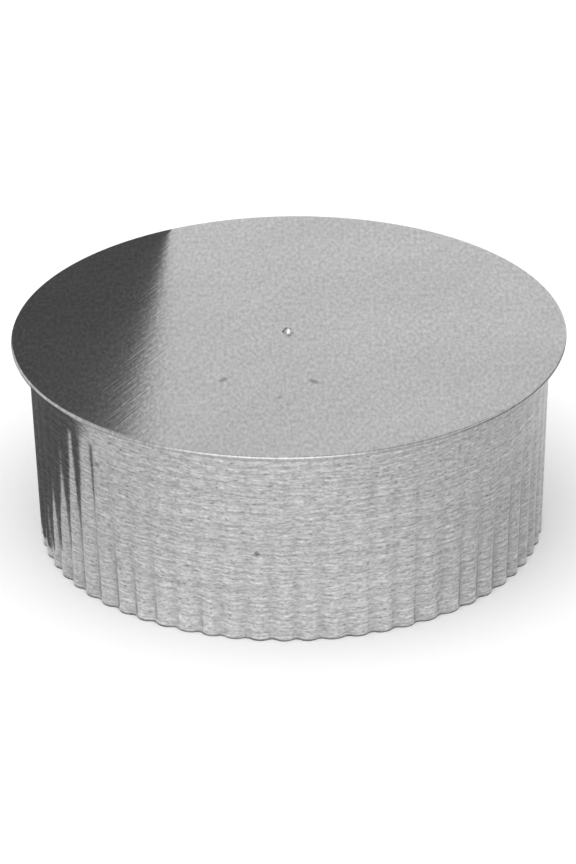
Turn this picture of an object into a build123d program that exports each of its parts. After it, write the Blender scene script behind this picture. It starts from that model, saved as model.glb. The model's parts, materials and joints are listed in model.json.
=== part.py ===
from build123d import *
import math
import os

# Round end cap for a sheet-metal duct, made of two pieces of galvanised steel.
# The collar is a strip rolled into a ring, lapped and spot welded at the back. It is crimped over
# most of its height, so that it slips inside the duct, and turned out at the top as a flange.
# The disc closes the collar. Its edge is hemmed round the flange, and the rim that this makes
# stands out past the collar as the stop for the end of the duct.
#
# Millimetres, +Z up, the disc on top. The origin is on the axis, in the plane of the open edge.

# Duct and sheet
duct_bore = 152.4  # inside diameter of the duct that the cap closes: six inches
slip_fit = 0.2  # radial room between the collar's plain band and the duct
sheet = 0.5  # thickness of both pieces

# Collar
collar_height = 60.9  # from the open edge to the underside of the hem
plain_band = 7.5  # smooth wall between the hem and the start of the crimps
flange_bend = 0.4  # inside radius of the bend from the wall to the flange

# Crimps
crimp_count = 64
crimp_depth = 1.2  # from crest to root, at the open edge
crimp_root_radius = 2.0  # outside surface, at the bottom of a groove
crimp_taper = 1.9  # how far the crests have come in, on the radius, at the open edge
lead_in_height = 5.0  # the part of a groove that deepens fast, below the plain band
lead_in_share = 0.5  # of the full depth, reached at the end of the lead-in

# Lap seam of the collar's strip
lap_crimps = 2  # crimps that pass through both layers
lap_gap = 0.05  # between the layers
lap_angle = 90.8  # degrees round from +X: the seam is at the back
weld_radius = 1.2
weld_reach = 0.3  # into each layer
weld_edge_distance = 10.0  # from the open edge to the lowest weld
weld_count = 3

# Hem
rim_overhang = 5.0  # how far the rim stands out past the plain band
hem_clearance = 0.1  # from the folded edge to the flange's bend, and from the flange to the hem's bend

# Centre mark, a small pip pressed up into the disc
mark_radius = 2.5
mark_height = 1.6
mark_tip_radius = 1.0

# Worked out from the dimensions above
collar_radius = duct_bore / 2 - slip_fit
rim_radius = collar_radius + rim_overhang
hem_thickness = 3 * sheet
hem_bend_start = rim_radius - hem_thickness / 2
disc_top = collar_height + hem_thickness
flange_top = disc_top - sheet
flange_underside = flange_top - sheet
crimp_top = collar_height - plain_band
pitch_angle = 360 / crimp_count
crimp_pitch = 2 * math.pi * (collar_radius - crimp_taper) / crimp_count


def arc_radii_sum(rise, run):
    """Radii, added up, of two tangent arcs that climb by rise over run as one smooth S."""
    slope = 2 * math.atan(rise / run)
    return run / math.sin(slope)


crimp_radii = arc_radii_sum(crimp_depth, crimp_pitch / 2)


def crest_share(inset):
    """Share of a crimp's pitch that its crest takes, on a surface lying inset inside the outer one."""
    return (crimp_radii - crimp_root_radius - inset) / crimp_radii


def crest_radius(z):
    """Radius of the circle that the crests touch at height z."""
    return collar_radius - crimp_taper * max(0, crimp_top - z) / crimp_top


def groove_depth(z):
    """Depth of the grooves at height z: fast through the lead-in, then slowly to the open edge."""
    below = crimp_top - z
    if below <= 0:
        return 0
    if below <= lead_in_height:
        return crimp_depth * lead_in_share * below / lead_in_height
    rest = (below - lead_in_height) / (crimp_top - lead_in_height)
    return crimp_depth * (lead_in_share + (1 - lead_in_share) * rest)


def lap_inset(pitches):
    """How far inwards the strip lies, so many crimps along from its outer end: it joggles in
    by one layer across the last crest before it passes under its own beginning."""
    ramp = (pitches - (crimp_count - 0.5)) / crest_share(0) + 0.5
    return (sheet + lap_gap) * min(1, max(0, ramp))


def polar(radius, pitches, z):
    """A point so many crimps along the strip."""
    angle = math.radians(lap_angle + pitches * pitch_angle)
    return Vector(radius * math.cos(angle), radius * math.sin(angle), z)


def strip_side(z, face_inset):
    """One face of the strip in plan at height z, from the outer end of the strip to the inner:
    a crest arc and a root arc for each crimp. face_inset is 0 outside and one sheet inside."""

    def crest_end(pitches, side):
        inset = face_inset + lap_inset(pitches + side * crest_share(face_inset) / 2)
        share = crest_share(inset)
        radius = crest_radius(z) - inset - groove_depth(z) * share
        return polar(radius, pitches + side * share / 2, z)

    arcs = []
    crimps = crimp_count + lap_crimps
    for number in range(crimps):
        crest = number + 0.5
        top = polar(crest_radius(z) - face_inset - lap_inset(crest), crest, z)
        arcs.append(ThreePointArc(crest_end(crest, -1), top, crest_end(crest, 1)))
        if number + 1 < crimps:
            root = crest + 0.5
            root_radius = crest_radius(z) - face_inset - lap_inset(root) - groove_depth(z)
            bottom = polar(root_radius, root, z)
            arcs.append(ThreePointArc(crest_end(crest, 1), bottom, crest_end(crest + 1, -1)))
    return arcs


def strip_outline(z):
    """The strip's closed outline in plan at height z."""
    outside = strip_side(z, 0)
    inside = strip_side(z, sheet)
    outer_end = Line(inside[0] @ 0, outside[0] @ 0)
    inner_end = Line(outside[-1] @ 1, inside[-1] @ 1)
    return Wire(outside + [inner_end] + inside[::-1] + [outer_end])


def flange_ring():
    """The strip's top edge, bent out through a right angle to lie under the disc."""
    inner_radius = collar_radius - sheet
    flange_edge = hem_bend_start - hem_clearance
    bend_bottom = flange_underside - flange_bend
    with BuildPart() as ring:
        with BuildSketch(Plane.XZ):
            with BuildLine():
                Line((inner_radius, bend_bottom), (collar_radius, bend_bottom))
                RadiusArc(
                    (collar_radius, bend_bottom),
                    (collar_radius + flange_bend, flange_underside),
                    flange_bend,
                )
                Polyline(
                    (collar_radius + flange_bend, flange_underside),
                    (flange_edge, flange_underside),
                    (flange_edge, flange_top),
                    (collar_radius + flange_bend, flange_top),
                )
                RadiusArc(
                    (collar_radius + flange_bend, flange_top),
                    (inner_radius, bend_bottom),
                    -(flange_bend + sheet),
                )
            make_face()
        revolve(axis=Axis.Z)
    return ring.part


def weld_nuggets():
    """The spot welds that tie the two layers of the lap together, hidden between them."""
    top_weld = collar_height - plain_band / 2
    spacing = (top_weld - weld_edge_distance) / (weld_count - 1)
    along = lap_crimps // 2 + 0.5
    nuggets = []
    for number in range(weld_count):
        z = weld_edge_distance + number * spacing
        lap_face = crest_radius(z) - sheet
        outer = polar(lap_face + weld_reach, along, z)
        inner = polar(lap_face - lap_gap - weld_reach, along, z)
        across = outer - inner
        nuggets.append(Solid.make_cylinder(weld_radius, across.length, Plane(inner, z_dir=across)))
    return nuggets


def make_collar():
    """The crimped strip, its flange and its welds, as one piece."""
    wall_top = flange_underside - flange_bend
    heights = [0, crimp_top - lead_in_height, crimp_top, wall_top]
    strip = Solid.make_loft([strip_outline(z) for z in heights], ruled=True)
    return Part() + strip + flange_ring() + weld_nuggets()


def make_disc():
    """The flat disc with its pip, its edge hemmed under and round the flange."""
    hem_middle = collar_height + hem_thickness / 2
    fold_edge = collar_radius + flange_bend + hem_clearance
    underside = disc_top - sheet

    def pip_side(face, tip_radius):
        """One face of the pip, from its top out to the flat of the disc."""
        share = tip_radius / arc_radii_sum(mark_height, mark_radius)
        crossing = (mark_radius * share, face + mark_height * (1 - share))
        foot_radius = arc_radii_sum(mark_height, mark_radius) - tip_radius
        top = RadiusArc((0, face + mark_height), crossing, tip_radius)
        foot = RadiusArc(crossing, (mark_radius, face), -foot_radius)
        return top, foot

    with BuildPart() as disc:
        with BuildSketch(Plane.XZ):
            with BuildLine():
                pip_side(disc_top, mark_tip_radius)
                Line((mark_radius, disc_top), (hem_bend_start, disc_top))
                ThreePointArc(
                    (hem_bend_start, disc_top), (rim_radius, hem_middle), (hem_bend_start, collar_height)
                )
                Polyline(
                    (hem_bend_start, collar_height),
                    (fold_edge, collar_height),
                    (fold_edge, collar_height + sheet),
                    (hem_bend_start, collar_height + sheet),
                )
                ThreePointArc(
                    (hem_bend_start, collar_height + sheet),
                    (rim_radius - sheet, hem_middle),
                    (hem_bend_start, underside),
                )
                Line((hem_bend_start, underside), (mark_radius, underside))
                pip_side(underside, mark_tip_radius - sheet)
                Line((0, underside + mark_height), (0, disc_top + mark_height))
            make_face()
        revolve(axis=Axis.Z)
    return disc.part


if __name__ == "__main__":
    os.makedirs("parts", exist_ok=True)
    export_step(make_disc(), "parts/end_disc.step")
    export_step(make_collar(), "parts/crimped_collar.step")
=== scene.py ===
"""Duct end cap: a crimped sheet-metal collar closed by a flat disc that is hemmed round its flange."""
import json
import math
import random

import bmesh
import bpy
from bpy.props import FloatProperty, FloatVectorProperty, IntProperty, PointerProperty, StringProperty
from mathutils import Matrix, Vector


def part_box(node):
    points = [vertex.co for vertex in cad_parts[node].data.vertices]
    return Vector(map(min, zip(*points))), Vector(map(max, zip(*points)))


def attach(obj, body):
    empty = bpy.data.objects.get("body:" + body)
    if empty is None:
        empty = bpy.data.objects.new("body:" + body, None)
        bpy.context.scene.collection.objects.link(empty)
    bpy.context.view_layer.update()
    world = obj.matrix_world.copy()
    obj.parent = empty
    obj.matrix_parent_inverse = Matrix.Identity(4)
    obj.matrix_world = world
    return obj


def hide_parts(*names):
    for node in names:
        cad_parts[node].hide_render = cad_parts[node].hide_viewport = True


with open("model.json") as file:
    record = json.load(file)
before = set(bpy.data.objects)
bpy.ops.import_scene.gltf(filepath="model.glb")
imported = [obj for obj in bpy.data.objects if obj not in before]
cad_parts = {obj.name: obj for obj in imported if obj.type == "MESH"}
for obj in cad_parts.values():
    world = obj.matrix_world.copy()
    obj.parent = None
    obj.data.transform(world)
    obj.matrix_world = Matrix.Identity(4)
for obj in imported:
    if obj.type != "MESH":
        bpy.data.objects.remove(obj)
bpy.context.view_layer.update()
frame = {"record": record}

bl_info = {
    "name": "Duct end cap",
    "version": (1, 0, 0),
    "blender": (4, 5, 0),
    "location": "3D View > Sidebar > Duct cap",
    "description": "Builds a crimped and hemmed end cap of galvanised sheet, with a plain studio round it",
    "category": "Add Mesh",
}

MM = 0.001
DISC_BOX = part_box("end_disc")
COLLAR_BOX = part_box("crimped_collar")
SLIP_FIT = next(mount for mount in frame["record"]["mounts"] if mount["name"] == "duct_slip_fit")
SHEET = 0.5 * MM
TINY = 0.001 * MM

# The lap seam: crimps that pass through both layers, how far in the lower layer lies, the share of a
# pitch over which it joggles in, and where the spot welds lie on the strip.
LAP_CRIMPS = 2
LAP_STEP = 1.3 * SHEET
JOGGLE_SHARE = 0.6
WELD_ALONG = 11.2 * MM
WELD_HEIGHTS = (10 * MM, 33.6 * MM, 57.15 * MM)

# How uneven the crimping rolls leave the crimps: each one's share of the full depth, its place in
# pitches and its start, and then the stretch where they stray, in shares of the way round. The last
# value is how a groove deepens towards the foot.
SEED = 62
DEPTH_SPREAD = (0.9, 1.08)
PLACE_SPREAD = 0.06
START_SPREAD = 0.6 * MM
DRIFT_MIDDLE = 0.664
DRIFT_REACH = 0.141
DEEPENING_POWER = 1.5

STEPS_A_TURN = 240
STEPS_A_CRIMP = 20
SHARP_FROM = math.radians(40)

# The floor lies a hair below the foot.
FLOOR = COLLAR_BOX[0].z - 0.02 * MM
FLOOR_SIDE = 8.0


class DiscSettings(bpy.types.PropertyGroup):
    """Sizes and finish of the end disc."""

    rim_radius: FloatProperty(
        name="Rim radius", description="Out to the edge of the hem", default=DISC_BOX[1].x, unit="LENGTH"
    )
    fold_edge: FloatProperty(
        name="Fold edge radius",
        description="Inner edge of the turned-under hem",
        default=76.5 * MM,
        unit="LENGTH",
    )
    pip_radius: FloatProperty(
        name="Pip radius", description="Foot of the centre mark", default=2.5 * MM, unit="LENGTH"
    )
    pip_height: FloatProperty(
        name="Pip height", description="Centre mark above the disc", default=1.6 * MM, unit="LENGTH"
    )
    pip_tip_radius: FloatProperty(
        name="Pip tip radius", description="Rounding of the top of the mark", default=1.5 * MM, unit="LENGTH"
    )
    colour: StringProperty(name="Colour", description="Zinc of the disc, as sRGB hex", default="#B5B5B5")


class CollarSettings(bpy.types.PropertyGroup):
    """Sizes and finish of the crimped collar."""

    radius: FloatProperty(
        name="Band radius",
        description="Outside of the plain band",
        default=SLIP_FIT["dims"]["r_mm"] * MM,
        unit="LENGTH",
    )
    plain_band: FloatProperty(
        name="Plain band", description="Smooth wall under the hem", default=7.5 * MM, unit="LENGTH"
    )
    flange_bend: FloatProperty(
        name="Flange bend",
        description="Inside radius of the bend to the flange",
        default=0.4 * MM,
        unit="LENGTH",
    )
    crimps: IntProperty(name="Crimps", description="Number of crimps round the collar", default=64, min=8)
    crimp_depth: FloatProperty(
        name="Crimp depth", description="From crest to root at the open edge", default=1.2 * MM, unit="LENGTH"
    )
    root_radius: FloatProperty(
        name="Root radius", description="Rounding at the bottom of a groove", default=2.0 * MM, unit="LENGTH"
    )
    taper: FloatProperty(
        name="Taper",
        description="How far the crests come in by the open edge",
        default=1.9 * MM,
        unit="LENGTH",
    )
    lead_in: FloatProperty(
        name="Lead-in", description="Height over which a groove starts", default=2.5 * MM, unit="LENGTH"
    )
    lead_in_share: FloatProperty(
        name="Lead-in share", description="Part of its depth that a groove has after the start", default=0.22
    )
    drift: FloatProperty(
        name="Drift", description="How far the crimps stray along the strip, in pitches", default=0.27
    )
    lap_angle: FloatProperty(
        name="Lap angle",
        description="Where the strip's outer end lies, round from +X",
        default=math.radians(90.8),
        subtype="ANGLE",
    )
    colour: StringProperty(name="Colour", description="Zinc of the collar, as sRGB hex", default="#C4C4C4")


class StudioSettings(bpy.types.PropertyGroup):
    """Camera, floor and light."""

    camera_place: FloatVectorProperty(
        name="Camera place",
        description="Where the camera stands",
        default=(0.22 * MM, -1578.3 * MM, 826.5 * MM),
        subtype="TRANSLATION",
    )
    look_down: FloatProperty(
        name="Look down",
        description="Tilt of the camera below level",
        default=math.radians(26.79),
        subtype="ANGLE",
    )
    turn: FloatProperty(
        name="Turn",
        description="Turn of the camera to the left",
        default=math.radians(0.033),
        subtype="ANGLE",
    )
    roll: FloatProperty(
        name="Roll", description="Roll of the camera", default=math.radians(0.89), subtype="ANGLE"
    )
    lens: FloatProperty(
        name="Focal length",
        description="Lens of the camera in millimetres",
        default=250.4,
        subtype="DISTANCE_CAMERA",
    )


def linear(code):
    """The linear colour of an sRGB hex code."""
    parts = [int(code[start:start + 2], 16) / 255 for start in (1, 3, 5)]
    return [part / 12.92 if part <= 0.04045 else ((part + 0.055) / 1.055) ** 2.4 for part in parts]


def add_node(tree, kind, inputs=None, **settings):
    """Adds a node with its settings. An input is a plain value or another node's output to link."""
    node = tree.nodes.new(kind)
    for name, value in settings.items():
        setattr(node, name, value)
    for name, value in (inputs or {}).items():
        if isinstance(value, bpy.types.NodeSocket):
            tree.links.new(value, node.inputs[name])
        else:
            node.inputs[name].default_value = value
    return node


def stretched_noise(tree, place, size, turn=0, **inputs):
    """A noise whose blotches have about the given size in metres, the first one along the turn."""
    laid = add_node(
        tree,
        "ShaderNodeMapping",
        {"Vector": place, "Rotation": (0, 0, turn), "Scale": size},
        vector_type="TEXTURE",
    )
    values = {"Vector": laid.outputs[0], "Scale": 1, "Detail": 2}
    values.update(inputs)
    return add_node(tree, "ShaderNodeTexNoise", values).outputs["Fac"]


def spread(tree, value, low, high, start=0.3, end=0.7):
    """Spreads a value to the range low to high, from the usual range of a noise or a given one."""
    inputs = {"Value": value, "From Min": start, "From Max": end, "To Min": low, "To Max": high}
    return add_node(tree, "ShaderNodeMapRange", inputs).outputs["Result"]


def product(tree, values):
    """The product of several values."""
    result = values[0]
    for value in values[1:]:
        result = add_node(tree, "ShaderNodeMath", {0: result, 1: value}, operation="MULTIPLY").outputs[0]
    return result


def mark(tree, place, spot, size, turn, shade):
    """A small soft-edged dark mark on the surface: 1 away from it and shade in its middle third."""
    laid = add_node(
        tree,
        "ShaderNodeMapping",
        {"Vector": place, "Location": spot, "Rotation": (0, 0, turn), "Scale": size},
        vector_type="TEXTURE",
    )
    reach = add_node(tree, "ShaderNodeVectorMath", {0: laid.outputs[0]}, operation="LENGTH").outputs["Value"]
    return spread(tree, reach, shade, 1, 0.3, 1)


def finish_metal(material, colour, tone_and_painted_shade, roughness, relief):
    """Joins the patterns of a sheet-metal finish to its shader. The relief is a height in metres."""
    tree = material.node_tree
    tint = add_node(
        tree,
        "ShaderNodeMix",
        {0: 1.0, 6: (*linear(colour), 1), 7: tone_and_painted_shade},
        data_type="RGBA",
        blend_type="MULTIPLY",
    )
    bump = add_node(tree, "ShaderNodeBump", {"Height": relief, "Distance": 1, "Strength": 1})
    shader = add_node(
        tree,
        "ShaderNodeBsdfPrincipled",
        {
            "Base Color": tint.outputs[2],
            "Metallic": 1.0,
            "Roughness": roughness,
            "Normal": bump.outputs[0],
        },
    )
    add_node(tree, "ShaderNodeOutputMaterial", {"Surface": shader.outputs[0]})


def new_material(name):
    """An empty node material."""
    material = bpy.data.materials.new(name)
    material.use_nodes = True
    material.node_tree.nodes.clear()
    return material


def temper_rolled_zinc(size):
    """Galvanised steel, zinc dipped and then temper rolled: a flat silver-grey with a fine mottle where
    the rolls pressed the spangle flat, and hair-fine rolling scratches that all run one way. Handling has
    left two small dull marks on it. A dark spot is painted shade of a small dent, and painted shade
    makes the disc a little darker towards the front."""
    material = new_material("temper_rolled_galvanised_steel")
    tree = material.node_tree
    place = add_node(tree, "ShaderNodeTexCoord").outputs["Object"]
    depth = add_node(tree, "ShaderNodeSeparateXYZ", {0: place}).outputs["Y"]
    top = DISC_BOX[1].z - size.pip_height
    mottle = stretched_noise(tree, place, (1.0 * MM, 2.2 * MM, 1.2 * MM))
    grain = stretched_noise(tree, place, (14 * MM, 0.7 * MM, 5 * MM), math.radians(60))
    cloud = stretched_noise(tree, place, (30 * MM, 25 * MM, 25 * MM))
    dash = mark(tree, place, (-19 * MM, -31 * MM, top), (2.5 * MM, 1.3 * MM, 2 * MM), 0.9, 0.58)
    # Painted shade: a dark spot that stands for the shading of a small dent the mesh does not have.
    dent_painted_shade = mark(tree, place, (7 * MM, -33 * MM, top), (2.5 * MM, 1.5 * MM, 2 * MM), -0.8, 0.55)
    scratch = mark(tree, place, (-3 * MM, -43 * MM, top), (2.0 * MM, 0.9 * MM, 2 * MM), 0.9, 0.7)
    tone_and_painted_shade = product(
        tree,
        [
            spread(tree, mottle, 0.82, 1.18),
            spread(tree, grain, 0.96, 1.04),
            spread(tree, cloud, 0.96, 1.04),
            # Painted shade: the disc is a little darker towards the front and lighter towards the back.
            spread(tree, depth, 0.96, 1.02, -75 * MM, 75 * MM),
            dash,
            dent_painted_shade,
            scratch,
        ],
    )
    scored = spread(tree, grain, 0, 0.016 * MM)
    dimpled = spread(tree, mottle, 0, 0.006 * MM)
    relief = add_node(tree, "ShaderNodeMath", {0: scored, 1: dimpled}, operation="ADD").outputs[0]
    roughness = 0.2
    finish_metal(material, size.colour, tone_and_painted_shade, roughness, relief)
    return material


def crimped_zinc(size):
    """Galvanised steel strip, roll formed and crimped: the rolls have scuffed the zinc into short
    light and dark dashes in rows that run round the collar, seen from a step away. The grooves are a
    little rougher than the crests and darkened with painted shade, and a painted contact shadow
    darkens the sheared foot into a thin dark line."""
    material = new_material("roll_scuffed_galvanised_steel")
    tree = material.node_tree
    along = add_node(tree, "ShaderNodeUVMap", uv_map="strip").outputs[0]
    level = add_node(tree, "ShaderNodeSeparateXYZ", {0: along}).outputs["Y"]
    groove = add_node(tree, "ShaderNodeAttribute", attribute_name="groove_depth").outputs["Fac"]

    # Faint rounds over the spot welds at the back, and three dark scuffs in front.
    spots = [((WELD_ALONG, height, 0), (1.8 * MM, 1.8 * MM, 1), 0.75) for height in WELD_HEIGHTS]
    spots.append(((227.5 * MM, 28.7 * MM, 0), (1.2 * MM, 1.0 * MM, 1), 0.35))
    spots.append(((265.8 * MM, 28.3 * MM, 0), (1.0 * MM, 0.7 * MM, 1), 0.6))
    spots.append(((175.4 * MM, 46.3 * MM, 0), (1.6 * MM, 0.9 * MM, 1), 0.5))

    dashes = stretched_noise(tree, along, (3.6 * MM, 0.75 * MM, 1))
    scuffs = stretched_noise(tree, along, (1.2 * MM, 0.6 * MM, 1))
    specks = stretched_noise(tree, along, (1.4 * MM, 0.75 * MM, 1), Detail=1)
    rows = stretched_noise(tree, along, (60 * MM, 1.1 * MM, 1), Detail=0)
    cloud = stretched_noise(tree, along, (25 * MM, 12 * MM, 1))
    tone_and_painted_shade = product(
        tree,
        [
            spread(tree, dashes, 0.76, 1.24),
            spread(tree, scuffs, 0.8, 1.2),
            spread(tree, specks, 1, 0.55, 0.6, 0.76),
            spread(tree, rows, 0.91, 1.09),
            spread(tree, cloud, 0.98, 1.02),
            # Painted contact shadow: the last 0.8 mm above the foot is darkened into a thin dark line.
            spread(tree, level, 0.15, 1, 0, 0.8 * MM),
            # Painted shade: the grooves are darkened, the deeper the darker, and the crests a little lighter.
            spread(tree, groove, 1.02, 0.88, 0, 0.9),
            *[mark(tree, along, spot, reach, 0, shade) for spot, reach, shade in spots],
        ],
    )
    smooth = spread(tree, dashes, 0.18, 0.26)
    dull = spread(tree, groove, 0, 0.2, 0.2, 1)
    roughness = add_node(tree, "ShaderNodeMath", {0: smooth, 1: dull}, operation="ADD").outputs[0]
    finish_metal(material, size.colour, tone_and_painted_shade, roughness, spread(tree, dashes, 0, 0.01 * MM))
    return material


def new_piece(name, bm, material):
    """Makes an object of a finished bmesh, at the origin."""
    mesh = bpy.data.meshes.new(name)
    bm.to_mesh(mesh)
    bm.free()
    mesh.materials.append(material)
    mesh.shade_smooth()
    mesh.set_sharp_from_angle(angle=SHARP_FROM)
    piece = bpy.data.objects.new(name, mesh)
    bpy.context.scene.collection.objects.link(piece)
    return piece


def draw_line(bm, vertex, radius, height, steps=1):
    """Carries a profile on in a straight line, in equal steps."""
    start = vertex.co.copy()
    end = Vector((radius, 0, height))
    for step in range(steps):
        vertex = bmesh.ops.extrude_vert_indiv(bm, verts=[vertex])["verts"][0]
        vertex.co = start.lerp(end, (step + 1) / steps)
    return vertex


def draw_arc(bm, vertex, centre, angle, steps):
    """Carries a profile on round an arc. A positive angle turns from up to outwards."""
    middle = (centre[0], 0, centre[1])
    turned = bmesh.ops.spin(bm, geom=[vertex], cent=middle, axis=(0, 1, 0), angle=angle, steps=steps)
    return next(item for item in turned["geom_last"] if isinstance(item, bmesh.types.BMVert))


def thicken_inwards(bm):
    """Merges what lies on the same spot, turns the shell's faces outwards and gives it the sheet's
    thickness on the inside. Outwards is the way that most of its upright faces look."""
    bmesh.ops.remove_doubles(bm, verts=bm.verts, dist=TINY)
    bmesh.ops.recalc_face_normals(bm, faces=bm.faces)
    outwards = sum(face.calc_area() * face.normal.xy.dot(face.calc_center_median().xy) for face in bm.faces)
    if outwards < 0:
        bmesh.ops.reverse_faces(bm, faces=bm.faces)
    bmesh.ops.solidify(bm, geom=bm.faces[:], thickness=SHEET)


def build_disc(size):
    """Spins the disc's upper face from the pip round the hem, and thickens it inwards."""
    hem = 3 * SHEET
    bend = hem / 2
    top = DISC_BOX[1].z - size.pip_height
    bend_start = size.rim_radius - bend
    pip_slope = 2 * math.atan(size.pip_height / size.pip_radius)
    foot_radius = size.pip_radius / math.sin(pip_slope) - size.pip_tip_radius

    bm = bmesh.new()
    tip = bm.verts.new((0, 0, DISC_BOX[1].z))
    edge = draw_arc(bm, tip, (0, DISC_BOX[1].z - size.pip_tip_radius), pip_slope, steps=8)
    edge = draw_arc(bm, edge, (size.pip_radius, top + foot_radius), -pip_slope, steps=6)
    edge = draw_line(bm, edge, bend_start, top, steps=30)
    edge = draw_arc(bm, edge, (bend_start, top - bend), math.pi, steps=14)
    draw_line(bm, edge, size.fold_edge, top - hem, steps=2)
    profile = bm.verts[:] + bm.edges[:]
    turn = 2 * math.pi
    bmesh.ops.spin(bm, geom=profile, axis=(0, 0, 1), angle=turn, steps=STEPS_A_TURN, use_merge=True)
    thicken_inwards(bm)
    return bm


class CrimpPattern:
    """The crimps as the rolls left them: alike, but each a little deeper, shallower or off its place."""

    def __init__(self, size):
        rng = random.Random(SEED)
        numbers = range(size.crimps)
        self.size = size
        self.top = SLIP_FIT["pos_m"][2] - size.plain_band
        self.half_width = math.pi * (size.radius - size.taper) / size.crimps
        self.depths = [rng.uniform(*DEPTH_SPREAD) for _ in numbers]
        self.shifts = [rng.uniform(-PLACE_SPREAD, PLACE_SPREAD) + self.drift(number) for number in numbers]
        self.starts = [rng.uniform(-START_SPREAD, START_SPREAD) for _ in numbers]

    def growth(self, height, start):
        """Share of its full depth that a groove has at a height: a quick start, then more and more."""
        size = self.size
        below = self.top + start - height
        if below <= 0:
            return 0
        if below <= size.lead_in:
            return size.lead_in_share * below / size.lead_in
        rest = (below - size.lead_in) / (self.top - size.lead_in)
        return size.lead_in_share + (1 - size.lead_in_share) * rest ** DEEPENING_POWER

    def drift(self, number):
        """How far a crimp lies off its place, in pitches: most at the middle of the stretch."""
        away = min(1, abs(number / self.size.crimps - DRIFT_MIDDLE) / DRIFT_REACH)
        return self.size.drift * 0.5 * (1 + math.cos(math.pi * away))

    def drop(self, share):
        """Depth below the crest at a share of half a pitch from it, for a full-size crimp: a wide
        crest arc and a tight root arc that meet as a smooth S."""
        size = self.size
        radii = self.half_width / math.sin(2 * math.atan(size.crimp_depth / self.half_width))
        crest_radius = radii - size.root_radius
        across = share * self.half_width
        if across <= self.half_width * crest_radius / radii:
            return crest_radius - math.sqrt(crest_radius ** 2 - across ** 2)
        rest = self.half_width - across
        return size.crimp_depth - size.root_radius + math.sqrt(size.root_radius ** 2 - rest ** 2)

    def groove(self, along, height):
        """How deep the strip's outer face lies below the crests, so many crimps along. The roots lie
        at the whole numbers, each a little off by its shift."""
        count = self.size.crimps
        before = math.floor(along)
        part = along - before
        shift = self.shifts[before % count] * (1 - part) + self.shifts[(before + 1) % count] * part
        place = along - shift
        root = round(place) % count
        share = 1 - 2 * abs(place - round(place))
        return self.depths[root] * self.growth(height, self.starts[root]) * self.drop(share)

    def taper(self, height):
        """How far the crests have come in at a height."""
        return self.size.taper * max(0, self.top - height) / self.top

    def lap_inset(self, along):
        """How far the strip has joggled inwards to pass under its own outer end."""
        last_crest = self.size.crimps - 0.5
        ramp = (along - last_crest) / JOGGLE_SHARE + 0.5
        return LAP_STEP * min(1, max(0, ramp))


def build_collar(size):
    """Spins the collar's outer face as a strip that laps itself, presses the crimps into it, and
    thickens it inwards."""
    foot = COLLAR_BOX[0].z
    underside = COLLAR_BOX[1].z - SHEET
    bend_bottom = underside - size.flange_bend
    pitch = 2 * math.pi / size.crimps
    crimps = CrimpPattern(size)

    bm = bmesh.new()
    along = bm.verts.layers.float.new("along")
    depth = bm.verts.layers.float.new("groove_depth")
    edge = bm.verts.new((size.radius, 0, foot))
    edge = draw_line(bm, edge, size.radius, crimps.top - size.lead_in, steps=14)
    edge = draw_line(bm, edge, size.radius, crimps.top, steps=5)
    edge = draw_line(bm, edge, size.radius, bend_bottom, steps=3)
    edge = draw_arc(bm, edge, (size.radius + size.flange_bend, bend_bottom), math.pi / 2, steps=4)
    draw_line(bm, edge, COLLAR_BOX[1].x, underside, steps=2)
    profile = bm.verts[:] + bm.edges[:]
    bmesh.ops.spin(bm, geom=profile, axis=(0, 0, 1), angle=pitch, steps=STEPS_A_CRIMP)
    for vertex in bm.verts:
        vertex[along] = math.atan2(vertex.co.y, vertex.co.x) / pitch
    one_crimp = bm.verts[:] + bm.edges[:] + bm.faces[:]
    one_crimp_of_wall = [
        item
        for item in one_crimp
        if all(vertex.co.z <= bend_bottom + TINY for vertex in getattr(item, "verts", [item]))
    ]
    for number in range(1, size.crimps + LAP_CRIMPS):
        pattern = one_crimp if number < size.crimps else one_crimp_of_wall
        copied = bmesh.ops.duplicate(bm, geom=pattern)["geom"]
        copied = [item for item in copied if isinstance(item, bmesh.types.BMVert)]
        turn = Matrix.Rotation(number * pitch, 3, "Z")
        bmesh.ops.rotate(bm, verts=copied, cent=(0, 0, 0), matrix=turn)
        for vertex in copied:
            vertex[along] += number
    bmesh.ops.rotate(bm, verts=bm.verts, cent=(0, 0, 0), matrix=Matrix.Rotation(size.lap_angle, 3, "Z"))

    for vertex in bm.verts:
        groove = crimps.groove(vertex[along], vertex.co.z)
        fade = min(1, max(0, (underside - vertex.co.z) / size.flange_bend))
        inset = groove + crimps.taper(vertex.co.z) + fade * crimps.lap_inset(vertex[along])
        reach = vertex.co.xy.length
        vertex.co.xy *= (reach - inset) / reach
        vertex[depth] = groove / size.crimp_depth
    thicken_inwards(bm)
    for vertex in bm.verts:
        vertex.co.z = max(vertex.co.z, foot)

    # The strip unrolled, in metres. A face across the start of the ring counts on past its end.
    strip = bm.loops.layers.uv.new("strip")
    for face in bm.faces:
        furthest = max(vertex[along] for vertex in face.verts)
        for loop in face.loops:
            place = loop.vert[along]
            if furthest - place > size.crimps / 2:
                place += size.crimps
            loop[strip].uv = (place * pitch * size.radius, loop.vert.co.z)
    return bm


def add_stage(name, bm, material):
    """A floor or card: part of the studio and not of the cap."""
    mesh = bpy.data.meshes.new(name)
    bm.to_mesh(mesh)
    bm.free()
    mesh.materials.append(material)
    thing = bpy.data.objects.new(name, mesh)
    bpy.context.scene.collection.objects.link(thing)
    return thing


def flat_shape(corners):
    """One flat face with the given corners."""
    bm = bmesh.new()
    bm.faces.new([bm.verts.new(corner) for corner in corners])
    return bm


def rectangle(corner, first_side, second_side):
    """The corners of a rectangle, from one of them and the two sides that leave it."""
    corner, first_side, second_side = Vector(corner), Vector(first_side), Vector(second_side)
    return [corner, corner + first_side, corner + first_side + second_side, corner + second_side]


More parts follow.
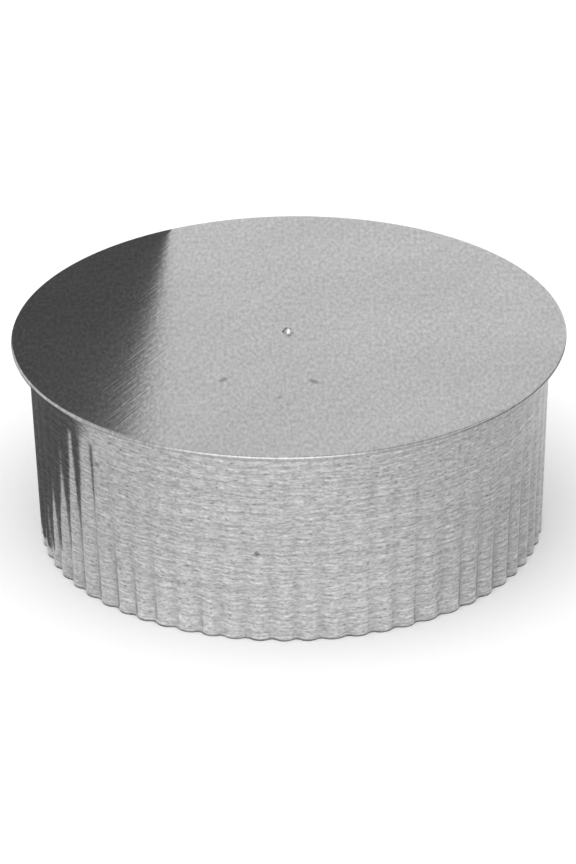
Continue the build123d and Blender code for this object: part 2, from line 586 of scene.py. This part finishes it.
def white_floor():
    """White board, a smooth painted sheet: matt and even, it keeps a soft shadow. Metal mirrors it through
    a glow of painted reflection that is dimmer towards the sides, where the studio's light falls off, and
    dimmest at the sides close beside the cap: painted shade and a painted contact shadow."""
    material = new_material("matt_white_sheet")
    tree = material.node_tree
    diffuse = add_node(tree, "ShaderNodeBsdfDiffuse", {"Color": (*linear("#FAFAFA"), 1)})
    place = add_node(tree, "ShaderNodeTexCoord").outputs["Object"]
    away = add_node(tree, "ShaderNodeVectorMath", {0: place}, operation="LENGTH").outputs["Value"]
    across = add_node(tree, "ShaderNodeSeparateXYZ", {0: place}).outputs["X"]
    sideways = add_node(tree, "ShaderNodeMath", {0: across, 1: away}, operation="DIVIDE").outputs[0]
    sideways = add_node(tree, "ShaderNodeMath", {0: sideways, 1: 0.1}, operation="ADD").outputs[0]
    aside = add_node(tree, "ShaderNodeMath", {0: sideways}, operation="ABSOLUTE").outputs[0]
    # Painted shade in the floor's reflection: darker towards the sides, most of all at the sides close beside
    # the cap.
    near = spread(tree, aside, 0.98, 0.62, 0.5, 1.08)
    far = spread(tree, aside, 0.935, 0.7, 0.3, 1.1)
    reach = spread(tree, away, 0, 1, 85 * MM, 130 * MM)
    painted_shade_in_reflection = add_node(tree, "ShaderNodeMix", {0: reach, 2: near, 3: far})
    glow = add_node(tree, "ShaderNodeEmission", {"Color": (1, 1, 1, 1), "Strength": painted_shade_in_reflection.outputs[0]})
    path = add_node(tree, "ShaderNodeLightPath")
    both = add_node(
        tree,
        "ShaderNodeMixShader",
        {0: path.outputs["Is Glossy Ray"], 1: diffuse.outputs[0], 2: glow.outputs[0]},
    )
    add_node(tree, "ShaderNodeOutputMaterial", {"Surface": both.outputs[0]})
    return material


def card(name, outline, colour, strength=1):
    """A card that shows only as a reflection in the metal, with its outline in millimetres."""
    material = new_material(name)
    tree = material.node_tree
    glow = add_node(tree, "ShaderNodeEmission", {"Color": (*linear(colour), 1), "Strength": strength})
    add_node(tree, "ShaderNodeOutputMaterial", {"Surface": glow.outputs[0]})
    thing = add_stage(name, flat_shape([Vector(corner) * MM for corner in outline]), material)
    thing.visible_camera = False
    thing.visible_diffuse = False
    thing.visible_shadow = False
    thing.visible_transmission = False
    thing.visible_volume_scatter = False


def set_cards():
    """The cards that the metal mirrors, in millimetres."""
    unlit = "#616161"
    white = "#FFFFFF"
    pale = "#CCCCCC"
    back = 83

    # Darken the left of the disc and of the wall, and the wall's right edge.
    foot, top, left = 0.4, 175, -135
    edge = [(-30, foot), (-35.5, 66), (-39.4, 88), (-43, 108), (-47.5, 128), (-53, 150), (-62, top)]
    edge += [(left, top), (left, foot)]
    card("upright_dark_card", [(x, back, z) for x, z in edge], unlit)
    edge = [(-76, back), (-76, -23), (-95, -14), (-125, -19), (-172, -20), (-260, -20), (-260, back)]
    card("lying_dark_card", [(x, y, 0.3) for x, y in edge], unlit)
    card("side_dark_card", rectangle((260, -150, foot), (0, 400, 0), (0, 0, 79.6)), unlit)

    # Light the rim's edge and the front of the pip, and keep the pip's foot grey.
    card("front_bright_card", rectangle((-4000, -2000, 100), (4600, 0, 0), (0, 0, 1900)), white, 1.1)
    card("high_front_card", rectangle((-2000, -1500, 760), (2900, 0, 0), (0, 0, 940)), white, 2.1)
    card("overhead_grey_card", rectangle((-1100, -500, 1050), (2200, 0, 0), (0, 1000, 0)), pale)


def set_light(scene):
    """White surroundings and one large soft lamp overhead, a little to the left and in front."""
    world = bpy.data.worlds.new("soft_white_studio")
    world.use_nodes = True
    tree = world.node_tree
    tree.nodes.clear()
    sky = add_node(tree, "ShaderNodeBackground", {"Color": (1, 1, 1, 1), "Strength": 1.0})
    add_node(tree, "ShaderNodeOutputWorld", {"Surface": sky.outputs[0]})
    scene.world = world

    lamp = bpy.data.lights.new("overhead_softbox", "AREA")
    lamp.shape = "DISK"
    lamp.size = 0.9
    lamp.energy = 2.8
    light = bpy.data.objects.new("overhead_softbox", lamp)
    light.location = (-0.1, -0.25, 1.0)
    middle_of_cap = Vector((0, 0, 0.03))
    aim = middle_of_cap - light.location
    light.rotation_euler = aim.to_track_quat("-Z", "Y").to_euler()
    scene.collection.objects.link(light)


def set_camera(scene, studio):
    """A long lens some way off, looking down on the cap from the front."""
    lens = bpy.data.cameras.new("camera")
    lens.lens = studio.lens
    camera = bpy.data.objects.new("camera", lens)
    camera.matrix_world = (
        Matrix.Translation(studio.camera_place)
        @ Matrix.Rotation(studio.turn, 4, "Z")
        @ Matrix.Rotation(math.pi / 2 - studio.look_down, 4, "X")
        @ Matrix.Rotation(-studio.roll, 4, "Z")
    )
    scene.collection.objects.link(camera)
    scene.camera = camera


class DUCTCAP_OT_end_disc(bpy.types.Operator):
    """Adds the flat end disc with its pip and its hemmed rim"""

    bl_idname = "duct_cap.end_disc"
    bl_label = "End Disc"

    def execute(self, context):
        size = context.scene.duct_cap_disc
        disc = new_piece("hemmed_end_disc", build_disc(size), temper_rolled_zinc(size))
        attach(disc, "root")
        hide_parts("end_disc")
        return {"FINISHED"}


class DUCTCAP_OT_collar(bpy.types.Operator):
    """Adds the crimped collar with its lap seam and its flange"""

    bl_idname = "duct_cap.collar"
    bl_label = "Crimped Collar"

    def execute(self, context):
        size = context.scene.duct_cap_collar
        collar = new_piece("crimped_strip_collar", build_collar(size), crimped_zinc(size))
        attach(collar, "root")
        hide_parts("crimped_collar")
        return {"FINISHED"}


class DUCTCAP_OT_studio(bpy.types.Operator):
    """Adds the pale floor, the soft light, the cards that the metal mirrors, and the camera"""

    bl_idname = "duct_cap.studio"
    bl_label = "Studio"

    def execute(self, context):
        scene = context.scene
        corner = (-FLOOR_SIDE / 2, -FLOOR_SIDE / 2, FLOOR)
        sheet = rectangle(corner, (FLOOR_SIDE, 0, 0), (0, FLOOR_SIDE, 0))
        add_stage("floor", flat_shape(sheet), white_floor())
        set_cards()
        set_light(scene)
        set_camera(scene, scene.duct_cap_studio)
        scene.view_settings.view_transform = "Standard"
        return {"FINISHED"}


class DUCTCAP_PT_panel(bpy.types.Panel):
    """Lists the pieces of the cap"""

    bl_label = "Duct Cap"
    bl_space_type = "VIEW_3D"
    bl_region_type = "UI"
    bl_category = "Duct cap"

    def draw(self, context):
        for kind in OPERATORS:
            self.layout.operator(kind.bl_idname)


OPERATORS = (DUCTCAP_OT_end_disc, DUCTCAP_OT_collar, DUCTCAP_OT_studio)
CLASSES = (DiscSettings, CollarSettings, StudioSettings, *OPERATORS, DUCTCAP_PT_panel)


def register():
    for kind in CLASSES:
        bpy.utils.register_class(kind)
    bpy.types.Scene.duct_cap_disc = PointerProperty(type=DiscSettings)
    bpy.types.Scene.duct_cap_collar = PointerProperty(type=CollarSettings)
    bpy.types.Scene.duct_cap_studio = PointerProperty(type=StudioSettings)


def unregister():
    del bpy.types.Scene.duct_cap_studio
    del bpy.types.Scene.duct_cap_collar
    del bpy.types.Scene.duct_cap_disc
    for kind in reversed(CLASSES):
        bpy.utils.unregister_class(kind)


def main():
    register()
    bpy.ops.duct_cap.end_disc()
    bpy.ops.duct_cap.collar()
    bpy.ops.duct_cap.studio()


if __name__ == "__main__":
    main()
